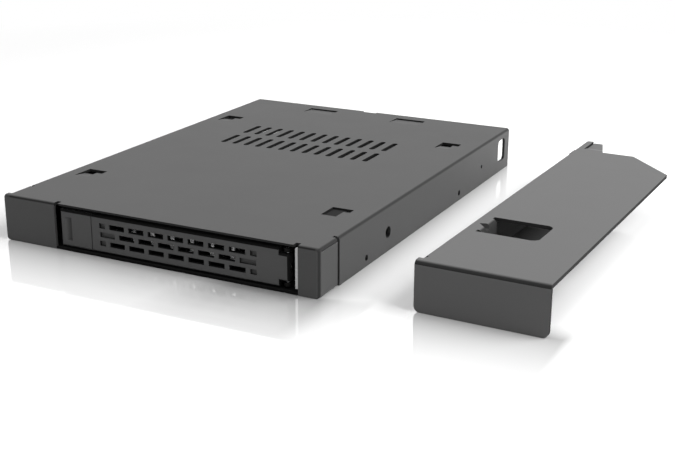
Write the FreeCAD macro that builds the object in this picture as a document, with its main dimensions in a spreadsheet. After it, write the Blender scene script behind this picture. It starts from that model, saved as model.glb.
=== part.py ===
# Slim-bay mobile rack for one small hard drive: a folded steel cage, a pull-out tray with a
# vented swing door and a release button, the circuit board behind the tray, and the side
# bracket that fills the rest of the bay, taken off and standing beside the cage.
# Millimetres, X to the right, Y to the back, Z up. Outlines are drawn from the cage's lower
# front left corner; every body is then moved so that the origin is the middle of its underside.

import FreeCAD
import Part
import Sketcher
import math
import os
from types import SimpleNamespace

SIZES = {
    # the drive that the tray carries
    "drive_width": 69.85,
    "drive_length": 100.35,
    "drive_height": 9.5,
    "drive_play": 0.075,
    "drive_holes_across": 61.72,
    "drive_holes_along": 76.6,
    "drive_hole_from_back": 14.0,
    "drive_hole_radius": 1.6,
    # cage sheets and folds
    "cover_sheet": 0.8,
    "pan_sheet": 0.6,
    "rail_sheet": 0.8,
    "rail_fold": 0.2,
    "fold_radius": 0.95,
    "cut_overrun": 2.4,
    "ear_width": 16.4,
    "post_width": 5.9,
    "return_length": 9.4,
    "return_gap": 1.1,
    "return_relief": 1.5,
    "seam_gap": 0.3,
    "notch_width": 1.3,
    "notch_depth": 0.9,
    "ear_corner": 1.0,
    "ear_overhang": 0.35,
    "lip_setback": 0.15,
    "lip_bevel": 0.65,
    # running gaps round the tray
    "tray_gap": 0.5,
    "tray_lift": 0.5,
    "head_gap": 0.7,
    "rail_gap": 0.3,
    # cooling slots in the top
    "top_slot_first": 21.7,
    "top_slot_pitch": 4.1,
    "top_slot_count": 13,
    "top_slot_width": 1.7,
    "top_slot_length": 10.0,
    "top_slot_front": 75.0,
    "top_slot_rows_gap": 3.4,
    # lanced flaps in the top, beside the rails
    "lance_length": 6.1,
    "lance_depth": 6.9,
    "lance_flap": 4.3,
    "lance_tail": 2.6,
    "lance_slit": 0.3,
    "lance_front": 24.1,
    "lance_rear": 99.8,
    "flap_reach": 4.0,
    "flap_fall": 0.5,
    "tab_root": 0.8,
    "tab_reach": 6.6,
    # sloping tongues at the back of the top
    "tongue_left": 24.3,
    "tongue_right": 57.0,
    "tongue_width": 10.4,
    "tongue_opening": 6.0,
    "tongue_reach": 5.7,
    "tongue_fall": 0.4,
    "tongue_margin": 4.3,
    "tongue_slit": 0.12,
    "rear_notch_left": 42.5,
    "rear_notch_width": 5.0,
    "rear_notch_depth": 1.0,
    # holes in the side walls
    "bay_hole_radius": 0.85,
    "bay_hole_front": 25.8,
    "bay_hole_spacing": 64.3,
    "bay_hole_height": 2.3,
    "bracket_hole_radius": 1.6,
    "bracket_hole_y": 38.9,
    "bracket_hole_z": 5.3,
    "dimple_radius": 0.6,
    "dimple_y": 108.9,
    "dimple_z": 5.8,
    "hook_slot_margin": 3.9,
    "hook_slot_length": 6.2,
    "hook_slot_bottom": 3.3,
    "hook_slot_height": 7.2,
    "hook_slot_radius": 1.4,
    # base pan
    "pan_gap": 0.1,
    "pan_setback": 1.5,
    "sill_setback": 0.1,
    "pan_tab_length": 11.6,
    "pan_tab_height": 4.6,
    "rear_wall_inset": 1.0,
    "rear_wall_left": 10.0,
    "rear_wall_right_gap": 9.6,
    "rear_wall_height": 11.0,
    "access_hole_radius": 3.4,
    # rails
    "rail_start": 14.0,
    "left_rail_width": 7.1,
    "right_rail_width": 4.6,
    "rail_screw_first": 30.0,
    "rail_screw_spacing": 55.0,
    "screw_radius": 0.8,
    "screw_head_radius": 1.7,
    "screw_head_height": 0.7,
    "screw_end_gap": 0.2,
    # tray
    "tray_sheet": 0.6,
    "tray_wall_height": 6.6,
    "tray_front_height": 8.2,
    "tray_bend": 0.7,
    "connector_reach": 3.5,
    "floor_slot_width": 5.0,
    "floor_slot_pitch": 9.0,
    "floor_slot_count": 5,
    "floor_slot_length": 52.0,
    "floor_slot_front": 30.0,
    "window_width": 4.75,
    "window_pitch": 6.05,
    "window_count": 8,
    "window_first": 31.9,
    "window_bottom": 2.7,
    "window_height": 6.4,
    # moulded carrier at the front of the tray
    "carrier_depth": 2.0,
    "carrier_height": 9.9,
    "carrier_side_gap": 0.25,
    "press_gap": 0.3,
    "ear_thickness": 1.0,
    "ear_radius": 1.05,
    "pin_radius": 0.5,
    "pin_play": 0.05,
    "pin_setback": 0.66,
    "hinge_clearance": 2.35,
    # door and release button
    "door_recess": 0.7,
    "door_depth": 2.0,
    "door_plate": 1.3,
    "door_rib": 1.1,
    "door_bottom": 0.95,
    "door_height": 10.05,
    "door_edge": 0.5,
    "door_right_gap": 1.2,
    "barrel_radius": 1.1,
    "hinge_notch": 2.9,
    "hinge_notch_top": 1.35,
    "hinge_notch_bottom": 1.65,
    "door_vent_length": 4.75,
    "door_vent_height": 1.4,
    "door_vent_pitch": 6.05,
    "door_vent_row_pitch": 2.4,
    "door_vent_inset": 5.6,
    "door_vent_count": 7,
    "door_vent_blind": 0.7,
    "door_vent_half": 1.9,
    "button_width": 10.1,
    "button_inset": 0.8,
    "button_gap": 0.25,
    "button_travel": 1.2,
    "scoop_inset": 1.6,
    "scoop_width": 2.2,
    "scoop_slope": 1.5,
    "scoop_depth": 0.75,
    "scoop_height": 6.4,
    "peg_radius": 0.8,
    "peg_play": 0.1,
    "peg_length": 2.2,
    "peg_inset": 1.9,
    # springs
    "button_spring_radius": 1.25,
    "button_spring_wire": 0.3,
    "button_spring_turns": 4.0,
    "spring_seat_depth": 1.6,
    "door_spring_radius": 0.82,
    "door_spring_wire": 0.26,
    "door_spring_turns": 4.0,
    "door_spring_slot": 1.9,
    "door_spring_room": 0.12,
    # light pipe and indicator
    "pipe_gap": 0.4,
    "pipe_width": 1.1,
    "pipe_post_gap": 0.1,
    "pipe_recess": 0.9,
    "pipe_depth": 2.3,
    "pipe_bottom": 1.2,
    "pipe_top_gap": 0.3,
    "pipe_rod": 1.5,
    "pipe_rod_bottom": 3.9,
    "pipe_overlap": 4.5,
    "led_length": 1.6,
    "led_gap": 0.1,
    "led_edge": 0.4,
    # circuit board and connectors
    "board_front_gap": 3.85,
    "board_depth": 16.0,
    "board_sheet": 1.2,
    "board_lift": 1.8,
    "board_left": 13.0,
    "board_right_gap": 4.2,
    "rear_space": 10.5,
    "boss_radius": 2.0,
    "boss_inset": 4.0,
    "boss_inset_right": 6.0,
    "front_boss_at": 16.0,
    "board_corner": 1.0,
    "plug_gap": 0.8,
    "plug_offset": 11.0,
    "plug_width": 37.0,
    "plug_depth": 8.0,
    "plug_height": 4.4,
    "plug_slot_height": 1.8,
    "plug_slot_depth": 5.0,
    "host_left": 24.0,
    "host_width": 40.0,
    "host_length": 17.0,
    "host_height": 5.4,
    "host_cavity_depth": 6.5,
    "host_wall": 0.9,
    "host_tongue": 1.1,
    "contact_width": 0.6,
    "contact_pitch": 1.27,
    "contact_thickness": 0.2,
    "contact_length": 4.4,
    "data_contacts": 7,
    "power_contacts": 15,
    "segment_gap": 3.4,
    # clinch nut for the bracket's screw
    "nut_radius": 2.2,
    "nut_length": 1.5,
    "nut_bore": 1.25,
    # side bracket
    "bracket_sheet": 1.0,
    "bracket_fold": 1.2,
    "bracket_width": 32.4,
    "bracket_shortfall": 8.0,
    "bracket_slope_length": 15.1,
    "bracket_knee_width": 18.5,
    "bracket_tongue_length": 11.5,
    "bracket_tongue_root": 9.0,
    "bracket_tongue_tip": 5.6,
    "joggle_left": 2.6,
    "joggle_slit": 0.3,
    "joggle_start": 1.6,
    "joggle_slope": 3.0,
    "joggle_fall": 0.5,
    "bracket_corner": 1.5,
    "bracket_overhang": 0.5,
    "bracket_nick": 3.4,
    "bracket_nick_width": 0.8,
    "window_left": 3.75,
    "window_across": 16.05,
    "window_front": 26.2,
    "window_along": 12.7,
    "window_corner": 2.0,
    "lug_margin": 1.4,
    "lug_bottom": 2.6,
    "gusset_reach": 2.75,
    "gusset_fall": 1.5,
    "gusset_half_width": 2.0,
    "gusset_web": 1.3,
    "bracket_hook_play": 0.5,
    "bracket_hook_reach": 2.6,
    "bracket_spacing": 23.23,
    "bracket_offset": 3.6,
    "bracket_yaw": -1.68,
}

doc = FreeCAD.newDocument("mobile_rack")
sheet = doc.addObject("Spreadsheet::Sheet", "Sizes")
for row, (alias, number) in enumerate(SIZES.items(), 1):
    sheet.set(f"A{row}", alias)
    sheet.set(f"B{row}", str(number))
    sheet.setAlias(f"B{row}", alias)
doc.recompute()


class Size:
    """A length that carries both its number and the sheet formula that gives it."""

    def __init__(self, number, formula):
        self.number = number
        self.formula = formula

    def __add__(self, other):
        other = sized(other)
        return Size(self.number + other.number, f"({self.formula} + {other.formula})")

    def __sub__(self, other):
        other = sized(other)
        return Size(self.number - other.number, f"({self.formula} - {other.formula})")

    def __mul__(self, other):
        other = sized(other)
        return Size(self.number * other.number, f"({self.formula} * {other.formula})")

    def __truediv__(self, other):
        other = sized(other)
        return Size(self.number / other.number, f"({self.formula} / {other.formula})")

    def __neg__(self):
        return Size(-self.number, f"(0 - {self.formula})")

    def __rsub__(self, other):
        return sized(other) - self

    def __rmul__(self, other):
        return sized(other) * self

    def __radd__(self, other):
        return sized(other) + self


def sized(length):
    """Any plain number as a Size."""
    if isinstance(length, Size):
        return length
    return Size(length, f"({length})")


s = SimpleNamespace(**{alias: Size(number, "Sizes." + alias) for alias, number in SIZES.items()})

# heights
tray_floor = s.pan_sheet + s.tray_lift
drive_seat = tray_floor + s.tray_sheet
cover_under = drive_seat + s.drive_height + s.head_gap
rack_height = cover_under + s.cover_sheet
door_top = s.door_bottom + s.door_height
door_middle = s.door_bottom + s.door_height / 2

# places across the width
tray_left = s.ear_width + s.tray_gap
tray_right = tray_left + s.drive_width + 2 * (s.drive_play + s.tray_sheet)
tray_middle = (tray_left + tray_right) / 2
pipe_left = tray_right + s.pipe_gap
post_left = pipe_left + s.pipe_width + s.pipe_post_gap
rack_width = post_left + s.post_width
button_left = tray_left + s.button_inset
button_right = button_left + s.button_width
door_left = button_right + s.button_gap
door_right = tray_right - s.door_right_gap
pin_x = door_right - s.barrel_radius
left_rail_face = tray_left - s.rail_gap
right_rail_face = tray_right + s.rail_gap
rod_left = right_rail_face + s.rail_sheet

# places along the depth
door_back = s.door_recess + s.door_depth
pin_y = s.door_recess + s.door_depth / 2 + s.pin_setback
carrier_front = door_back + s.button_travel + s.press_gap
carrier_back = carrier_front + s.carrier_depth
drive_back = carrier_back + s.tray_sheet + s.drive_length
tray_end = drive_back - s.connector_reach
plug_front = tray_end + s.plug_gap
board_front = tray_end + s.board_front_gap
board_back = board_front + s.board_depth
rack_depth = board_back + s.rear_space
rear_wall = rack_depth - s.rear_wall_inset - s.pan_sheet
board_bottom = s.pan_sheet + s.board_lift
board_top = board_bottom + s.board_sheet
rod_end = board_front + s.pipe_overlap

# how far cuts run on beyond the surface they start or end at
past = s.cut_overrun

NODES = []


def bind(thing, name, length):
    thing.setExpression(name, sized(length).formula)


def centred(body):
    """Move a body from the corner in which it is drawn to the cage's own origin."""
    bind(body, "Placement.Base.x", -rack_width / 2)
    bind(body, "Placement.Base.y", -rack_depth / 2)


def new_body(name, several=False):
    body = doc.addObject("PartDesign::Body", name)
    body.Label = name
    body.AllowCompound = several
    centred(body)
    NODES.append(body)
    return body


class Plan:
    """The lines of one sketch, gathered first and then drawn in one go."""

    def __init__(self):
        self.shapes, self.guides, self.constraints, self.formulas = [], [], [], {}

    def add(self, shape, guide=False):
        self.shapes.append(shape)
        self.guides.append(guide)
        return len(self.shapes) - 1

    def tie(self, *constraint):
        self.constraints.append(Sketcher.Constraint(*constraint))

    def datum(self, length, *constraint):
        """One dimension, tied to its formula."""
        length = sized(length)
        self.formulas[len(self.constraints)] = length.formula
        self.tie(*constraint, length.number)

    def hold(self, shape, point, x, y):
        self.datum(x, "DistanceX", -1, 1, shape, point)
        self.datum(y, "DistanceY", -1, 1, shape, point)

    def draw(self, body, plane, at):
        """The sketch on an origin plane of the body, at a place along that plane's axis."""
        sketch = body.newObject("Sketcher::SketchObject", body.Name + "_sketch")
        support = next(f for f in body.Origin.OriginFeatures if f.Role == plane + "_Plane")
        sketch.AttachmentSupport = [(support, "")]
        sketch.MapMode = "FlatFace"
        bind(sketch, "AttachmentOffset.Base.z", -sized(at) if plane == "XZ" else at)
        for shape, guide in zip(self.shapes, self.guides):
            sketch.addGeometry(shape, guide)
        sketch.addConstraint(self.constraints)
        for index, formula in self.formulas.items():
            sketch.setExpression(f"Constraints[{index}]", formula)
        return sketch


def flat(x, y):
    return FreeCAD.Vector(sized(x).number, sized(y).number, 0)


def rounding(before, corner, after, radius):
    """Where an arc of this radius leaves and meets the two sides of a corner, and its centre."""
    into = (before - corner).normalize()
    out = (after - corner).normalize()
    half = into.getAngle(out) / 2
    reach = radius / math.tan(half)
    middle = corner + (into + out).normalize() * (radius / math.sin(half))
    return corner + into * reach, corner + out * reach, middle


def arc_between(start, end, middle, radius):
    """The arc from start to end, and the numbers of its ends as the sketch counts them."""
    turn = (start - middle).cross(end - middle).z
    first, last = (start, end) if turn > 0 else (end, start)
    angles = [math.atan2(p.y - middle.y, p.x - middle.x) for p in (first, last)]
    circle = Part.Circle(middle, FreeCAD.Vector(0, 0, 1), radius)
    return Part.ArcOfCircle(circle, *angles), (1, 2) if turn > 0 else (2, 1)


def outline(*corners):
    """A closed outline through corners (x, y) or (x, y, rounding radius)."""

    def draw(plan):
        points = [flat(c[0], c[1]) for c in corners]
        count = len(points)
        starts, ends, arcs = list(points), list(points), {}
        for i, corner in enumerate(corners):
            if len(corner) == 3:
                radius = sized(corner[2]).number
                near = rounding(points[i - 1], points[i], points[(i + 1) % count], radius)
                ends[i], starts[i] = near[0], near[1]
                arcs[i] = arc_between(*near, radius)
        lines = [
            plan.add(Part.LineSegment(starts[i], ends[(i + 1) % count]))
            for i in range(count)
        ]
        for i, corner in enumerate(corners):
            if i not in arcs:
                plan.tie("Coincident", lines[i - 1], 2, lines[i], 1)
                plan.hold(lines[i], 1, corner[0], corner[1])
                continue
            arc, (first, last) = arcs[i]
            bend = plan.add(arc)
            mark = plan.add(Part.Point(points[i]), True)
            plan.tie("PointOnObject", mark, 1, lines[i - 1])
            plan.tie("PointOnObject", mark, 1, lines[i])
            plan.tie("Tangent", lines[i - 1], 2, bend, first)
            plan.tie("Tangent", bend, last, lines[i], 1)
            plan.hold(mark, 1, corner[0], corner[1])
            plan.datum(corner[2], "Radius", bend)

    return draw


def rectangle(left, right, low, high, radius=None):
    ends = [(left, low), (right, low), (right, high), (left, high)]
    if radius is None:
        return outline(*ends)
    return outline(*[(x, y, radius) for x, y in ends])


def circle(x, y, radius):
    def draw(plan):
        ring = plan.add(
            Part.Circle(flat(x, y), FreeCAD.Vector(0, 0, 1), sized(radius).number)
        )
        plan.hold(ring, 3, x, y)
        plan.datum(radius, "Radius", ring)

    return draw


def slot(x, low, high, width):
    """An upright slot with round ends, given by its centre line, its two ends and its width."""
    radius = width / 2

    def draw(plan):
        reach = sized(radius).number
        lower, upper = flat(x, low + radius), flat(x, high - radius)
        aside = FreeCAD.Vector(reach, 0, 0)
        right = plan.add(Part.LineSegment(lower + aside, upper + aside))
        left = plan.add(Part.LineSegment(upper - aside, lower - aside))
        top = plan.add(arc_from(upper, reach, 0, math.pi))
        bottom = plan.add(arc_from(lower, reach, math.pi, 2 * math.pi))
        for one, one_end, other, other_end in (
            (right, 2, top, 1),
            (top, 2, left, 1),
            (left, 2, bottom, 1),
            (bottom, 2, right, 1),
        ):
            plan.tie("Tangent", one, one_end, other, other_end)
        plan.tie("Equal", top, bottom)
        plan.hold(top, 3, x, high - radius)
        plan.hold(bottom, 3, x, low + radius)
        plan.datum(radius, "Radius", top)

    return draw


def arc_from(middle, radius, start, end):
    return Part.ArcOfCircle(Part.Circle(middle, FreeCAD.Vector(0, 0, 1), radius), start, end)


def extrude(kind, body, plane, start, end, *shapes):
    """Pad or pocket the shapes between two places along the plane's axis."""
    plan = Plan()
    for draw in shapes:
        draw(plan)
    profile = plan.draw(body, plane, start)
    feature = body.newObject("PartDesign::" + kind, body.Name + "_" + kind.lower())
    feature.Profile = profile
    bind(feature, "Length", sized(end) - start)
    feature.Reversed = (plane == "XZ") != (kind == "Pocket")
    return feature


def pad(body, plane, start, end, *shapes):
    return extrude("Pad", body, plane, start, end, *shapes)


def pocket(body, plane, start, end, *shapes):
    return extrude("Pocket", body, plane, start, end, *shapes)


def row_of(body, feature, axis, pitch, count):
    """Repeat a feature in a straight row along an origin axis of the body."""
    pattern = body.newObject("PartDesign::LinearPattern", feature.Name + "_row")
    pattern.Originals = [feature]
    line = next(f for f in body.Origin.OriginFeatures if f.Role == axis + "_Axis")
    pattern.Direction = (line, [""])
    pattern.Mode = "Spacing"
    bind(pattern, "Offset", pitch)
    bind(pattern, "Occurrences", count)
    body.Tip = pattern
    return pattern


def along(edge, **places):
    """Whether an edge lies at the given x, y and z places over its whole length."""
    points = [edge.valueAt(p) for p in (edge.FirstParameter, edge.LastParameter)]
    points.append(edge.valueAt((edge.FirstParameter + edge.LastParameter) / 2))
    return all(
        abs(getattr(point, axis) - sized(place).number) < 1e-4
        for point in points
        for axis, place in places.items()
    )


def dress(kind, body, size, *wanted):
    """Fillet or chamfer the edges of the newest feature that lie at one of the wanted places."""
    doc.recompute()
    base = body.Tip
    names = [
        f"Edge{i}"
        for i, edge in enumerate(base.Shape.Edges, 1)
        if any(along(edge, **places) for places in wanted)
    ]
    feature = body.newObject("PartDesign::" + kind, body.Name + "_" + kind.lower())
    feature.Base = (base, names)
    bind(feature, "Radius" if kind == "Fillet" else "Size", size)
    return feature


def shell(body, wall, open_face):
    """Hollow the newest feature to a sheet of this thickness, open at the chosen faces."""
    doc.recompute()
    base = body.Tip
    names = [f"Face{i}" for i, face in enumerate(base.Shape.Faces, 1) if open_face(face)]
    feature = body.newObject("PartDesign::Thickness", body.Name + "_sheet")
    feature.Base = (base, names)
    bind(feature, "Value", wall)
    feature.Reversed = True
    return feature


def faces_towards(*directions):
    """A test for flat faces whose outward normal points one of these ways."""

    def test(face):
        if not isinstance(face.Surface, Part.Plane):
            return False
        normal = face.normalAt(0, 0)
        return any(normal.dot(FreeCAD.Vector(*d)) > 0.999 for d in directions)

    return test


def spring(name, radius, wire, length, turns, spot):
    """A coil of round wire about its own Z axis, turned and placed at its seat."""
    coil = doc.addObject("Part::Helix", name + "_line")
    bind(coil, "Radius", radius)
    bind(coil, "Pitch", length / turns)
    bind(coil, "Height", length)
    section = doc.addObject("Part::Circle", name + "_wire")
    bind(section, "Radius", wire / 2)
    bind(section, "Placement.Base.x", radius)
    section.Placement.Rotation = FreeCAD.Rotation(FreeCAD.Vector(1, 0, 0), 90)
    body = doc.addObject("Part::Sweep", name)
    body.Label = name
    body.Sections = [section]
    body.Spine = (coil, [])
    body.Solid = True
    body.Frenet = True
    x, y, z, rotation = spot
    body.Placement = FreeCAD.Placement(FreeCAD.Vector(), rotation)
    bind(body, "Placement.Base.x", x - rack_width / 2)
    bind(body, "Placement.Base.y", y - rack_depth / 2)
    bind(body, "Placement.Base.z", z)
    NODES.append(body)
    return body


def round_corner(body, x, side, radius, back):
    """Round off a lower front corner at x, on this side of the body, from the front to a place behind."""
    out = x + side * past
    into = x - side * past
    pocket(
        body, "XZ", -past, back,
        outline((out, -past), (into, -past), (into, 0), (x, 0, radius), (x, past), (out, past)),
    )


def side_flange(body, reach, fold, sheet):
    """The strip by which a folded front, with its fold to the top, reaches out past the left wall."""
    top, under, back = rack_height, rack_height - sheet, 2 * fold
    pad(
        body, "YZ", -reach, back,
        outline((0, 0), (sheet, 0), (sheet, under, fold - sheet), (back, under), (back, top), (0, top, fold)),
    )


# Cover: top, side walls and front ears, folded from one sheet

def lance(left, front):
    """The opening round one flap or tab that is bent down from the top."""
    flap = left + s.lance_flap
    tail = front + s.lance_depth - s.lance_tail
    back = front + s.lance_depth
    right = left + s.lance_length
    return outline((left, front), (flap, front), (flap, tail), (right, tail), (right, back), (left, back))


def hinged_flap(body, left, right, front, reach, fall):
    """A flap of the top that hangs from the front edge of its opening and slopes down to the back."""
    tip = front + reach
    pad(
        body, "YZ", left, right,
        outline((front, rack_height), (front, cover_under),
                (tip, cover_under - fall), (tip, rack_height - fall)),
    )


def make_cover():
    body = new_body("top_cover")
    lance_right = right_rail_face - s.cover_sheet - s.lance_flap
    lance_left = left_rail_face - s.left_rail_width - s.cover_sheet - s.lance_flap
    lances = [(x, y) for x in (lance_left, lance_right) for y in (s.lance_front, s.lance_rear)]
    wall_start = s.return_length + s.return_gap
    pad(body, "XY", 0, rack_height, rectangle(0, rack_width, 0, rack_depth))
    dress(
        "Fillet", body, s.fold_radius,
        {"x": 0, "z": rack_height}, {"x": rack_width, "z": rack_height}, {"y": 0, "z": rack_height},
        {"x": 0, "y": 0}, {"x": rack_width, "y": 0},
    )
    shell(body, s.cover_sheet, faces_towards((0, 0, -1), (0, 1, 0)))
    # mouth between the ears, with a flat lip above it and a relief notch at each end of the lip
    mouth_end = s.fold_radius + s.notch_depth
    pocket(body, "XZ", -past, mouth_end, rectangle(s.ear_width, post_left, -past, rack_height + past))
    lip_left, lip_right = s.ear_width + s.notch_width, post_left - s.notch_width
    pad(body, "XY", cover_under, rack_height, rectangle(lip_left, lip_right, s.lip_setback, mouth_end))
    dress("Chamfer", body, s.lip_bevel, {"y": s.lip_setback, "z": cover_under})
    # gaps that part the ears' side returns from the side walls and from the top
    ends = (s.return_length, wall_start)
    pocket(
        body, "XY", -past, rack_height + past,
        rectangle(-past, s.return_relief, *ends),
        rectangle(rack_width - s.return_relief, rack_width + past, *ends),
    )
    seam = rack_height - s.fold_radius
    inner = s.cover_sheet + s.seam_gap
    for left, right in ((-past, inner), (rack_width - inner, rack_width + past)):
        pocket(body, "XZ", s.fold_radius, s.return_length + s.return_gap / 2,
               rectangle(left, right, seam, seam + s.seam_gap))
    side_flange(body, s.ear_overhang, s.fold_radius, s.cover_sheet)
    for x, side in ((-s.ear_overhang, -1), (rack_width, 1)):
        round_corner(body, x, side, s.ear_corner, s.return_length + s.return_gap / 2)
    # cooling slots, two rows deep
    row_two = s.top_slot_front + s.top_slot_length + s.top_slot_rows_gap
    slots = pocket(
        body, "XY", cover_under - past, rack_height + past,
        slot(s.top_slot_first, s.top_slot_front, s.top_slot_front + s.top_slot_length, s.top_slot_width),
        slot(s.top_slot_first, row_two, row_two + s.top_slot_length, s.top_slot_width),
    )
    row_of(body, slots, "X", s.top_slot_pitch, s.top_slot_count)
    # lanced openings: a flat set-down tab in the front right one, sloping flaps in the others
    pocket(body, "XY", cover_under - past, rack_height + past, *[lance(x, y) for x, y in lances])
    for x, y in lances:
        left, right = x + s.lance_slit, x + s.lance_flap
        if (x, y) == (lance_right, s.lance_front):
            pad(body, "XY", cover_under - s.flap_fall, rack_height - s.flap_fall,
                rectangle(left, right, y - s.tab_root, y + s.tab_reach))
        else:
            hinged_flap(body, left, right, y, s.flap_reach, s.flap_fall)
    # sloping tongues and the notch in the rear edge
    tongue_back = rack_depth - s.tongue_margin
    tongue_front = tongue_back - s.tongue_opening
    tongues = (s.tongue_left, s.tongue_right)
    pocket(
        body, "XY", cover_under - past, rack_height + past,
        *[rectangle(x, x + s.tongue_width, tongue_front, tongue_back) for x in tongues],
        rectangle(s.rear_notch_left, s.rear_notch_left + s.rear_notch_width,
                  rack_depth - s.rear_notch_depth, rack_depth + past),
    )
    for x in tongues:
        hinged_flap(body, x + s.tongue_slit, x + s.tongue_width - s.tongue_slit,
                    tongue_front, s.tongue_reach, s.tongue_fall)
    # holes through the side walls
    bay_holes = [
        circle(s.bay_hole_front + along_wall, s.bay_hole_height, s.bay_hole_radius)
        for along_wall in (0, s.bay_hole_spacing)
    ]
    pocket(body, "YZ", -past, past, *bay_holes)
    slot_back = rack_depth - s.hook_slot_margin
    pocket(
        body, "YZ", rack_width - past, rack_width + past, *bay_holes,
        circle(s.bracket_hole_y, s.bracket_hole_z, s.bracket_hole_radius),
        circle(s.dimple_y, s.dimple_z, s.dimple_radius),
        rectangle(slot_back - s.hook_slot_length, slot_back, s.hook_slot_bottom,
                  s.hook_slot_bottom + s.hook_slot_height, s.hook_slot_radius),
    )


# Base pan: floor, side tabs, rear wall and the bosses that carry the circuit board

def boss_places():
    back = board_back - s.boss_inset
    return [
        (s.board_left + s.boss_inset, back),
        (rack_width - s.board_right_gap - s.boss_inset_right, back),
        (s.board_left + s.front_boss_at, board_front + s.boss_inset),
    ]


def drive_hole_places():
    back = drive_back - s.drive_hole_from_back
    return [
        (tray_middle + side * s.drive_holes_across / 2, y)
        for side in (-1, 1)
        for y in (back - s.drive_holes_along, back)
    ]


def rail_screw_places():
    bend = s.rail_sheet + s.rail_fold
    left = left_rail_face - (bend + s.left_rail_width) / 2
    right = right_rail_face + (bend + s.right_rail_width) / 2
    return [
        (x, s.rail_screw_first + forward)
        for x in (left, right)
        for forward in (0, s.rail_screw_spacing)
    ]


def make_pan():
    body = new_body("base_pan")
    left = s.cover_sheet + s.pan_gap
    right = rack_width - left
    pad(body, "XY", 0, s.pan_sheet, rectangle(left, right, s.pan_setback, rack_depth - s.rear_wall_inset))
    # sill that runs forward between the ears, under the door and the button
    pad(body, "XY", 0, s.pan_sheet,
        rectangle(s.ear_width + s.pan_gap, post_left - s.pan_gap,
                  s.sill_setback, s.pan_setback + s.pan_sheet))
    tabs = []
    for y in (s.bay_hole_front, s.bay_hole_front + s.bay_hole_spacing):
        ends = (y - s.pan_tab_length / 2, y + s.pan_tab_length / 2)
        tabs.append(rectangle(left, left + s.pan_sheet, *ends))
        tabs.append(rectangle(right - s.pan_sheet, right, *ends))
    pad(body, "XY", 0, s.pan_tab_height, *tabs)
    wall_right = rack_width - s.rear_wall_right_gap
    pad(body, "XY", 0, s.rear_wall_height,
        rectangle(s.rear_wall_left, wall_right, rear_wall, rear_wall + s.pan_sheet))
    bosses = boss_places()
    pad(body, "XY", 0, board_bottom, *[circle(x, y, s.boss_radius) for x, y in bosses])
    pocket(body, "XY", -past, board_bottom + past, *[circle(x, y, s.screw_radius) for x, y in bosses])
    pocket(
        body, "XY", -past, s.pan_sheet + past,
        *[circle(x, y, s.access_hole_radius) for x, y in drive_hole_places()],
        *[circle(x, y, s.screw_radius) for x, y in rail_screw_places()],
    )
    bay_holes = [
        circle(s.bay_hole_front + back, s.bay_hole_height, s.bay_hole_radius)
        for back in (0, s.bay_hole_spacing)
    ]
    pocket(body, "YZ", -past, left + past, *bay_holes)
    pocket(body, "YZ", right - past, right + past, *bay_holes)
    pocket(
        body, "XZ", rear_wall - s.pan_sheet, rear_wall + 2 * s.pan_sheet,
        rectangle(s.host_left - s.pan_gap, s.host_left + s.host_width + s.pan_gap,
                  board_top - s.pan_gap, board_top + s.host_height + s.pan_gap),
    )


# Rails: folded channels that guide the tray's sides and stand between pan and cover

def make_rail(name, face, width, side):
    body = new_body(name)
    low, high = s.pan_sheet, cover_under
    edge = face + side * width
    web = face + side * s.rail_sheet
    bend = s.rail_sheet + s.rail_fold
    pad(
        body, "XZ", s.rail_start, tray_end,
        outline(
            (edge, low), (face, low, bend), (face, high, bend), (edge, high),
            (edge, high - s.rail_sheet), (web, high - s.rail_sheet, s.rail_fold),
            (web, low + s.rail_sheet, s.rail_fold), (edge, low + s.rail_sheet),
        ),
    )
    holes = [spot for spot in rail_screw_places() if (spot[0].number > face.number) == (side > 0)]
    pocket(body, "XY", low - past, low + s.rail_sheet, *[circle(x, y, s.screw_radius) for x, y in holes])


def make_screws(name, places, seat, end):
    """Screws whose heads sit on this height and whose shanks reach down to the end height."""
    body = new_body(name, several=True)
    head = seat + s.screw_head_height
    pad(body, "XY", seat, head, *[circle(x, y, s.screw_head_radius) for x, y in places])
    pad(body, "XY", end, seat, *[circle(x, y, s.screw_radius) for x, y in places])


# Tray: folded sheet with low side walls, a slotted floor and a windowed front wall

def make_tray():
    body = new_body("drive_tray")
    wall_top = drive_seat + s.tray_wall_height
    pad(body, "XY", tray_floor, drive_seat, rectangle(tray_left, tray_right, carrier_back, tray_end))
    pad(
        body, "XY", tray_floor, wall_top,
        rectangle(tray_left, tray_left + s.tray_sheet, carrier_back, tray_end),
        rectangle(tray_right - s.tray_sheet, tray_right, carrier_back, tray_end),
    )
    pad(body, "XY", tray_floor, drive_seat + s.tray_front_height,
        rectangle(tray_left, tray_right, carrier_back, carrier_back + s.tray_sheet))
    dress("Fillet", body, s.tray_bend,
          {"x": tray_left, "z": tray_floor}, {"x": tray_right, "z": tray_floor})
    pocket(body, "XY", tray_floor - past, drive_seat + past,
           *[circle(x, y, s.drive_hole_radius) for x, y in drive_hole_places()])
    first = tray_middle - s.floor_slot_pitch * (s.floor_slot_count - 1) / 2
    slots = pocket(
        body, "XY", tray_floor - past, drive_seat + past,
        slot(first, s.floor_slot_front, s.floor_slot_front + s.floor_slot_length, s.floor_slot_width),
    )
    row_of(body, slots, "X", s.floor_slot_pitch, s.floor_slot_count)
    # upright windows behind the door's slots
    left, low = s.window_first, s.window_bottom
    window = pocket(body, "XZ", carrier_back - past, carrier_back + s.tray_sheet,
                    rectangle(left, left + s.window_width, low, low + s.window_height))
    row_of(body, window, "X", s.window_pitch, s.window_count)


# Carrier: moulded frame behind the door and the button, with the hinge ears

def peg_places():
    return [(button_left + s.peg_inset, door_middle), (button_right - s.peg_inset, door_middle)]


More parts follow.
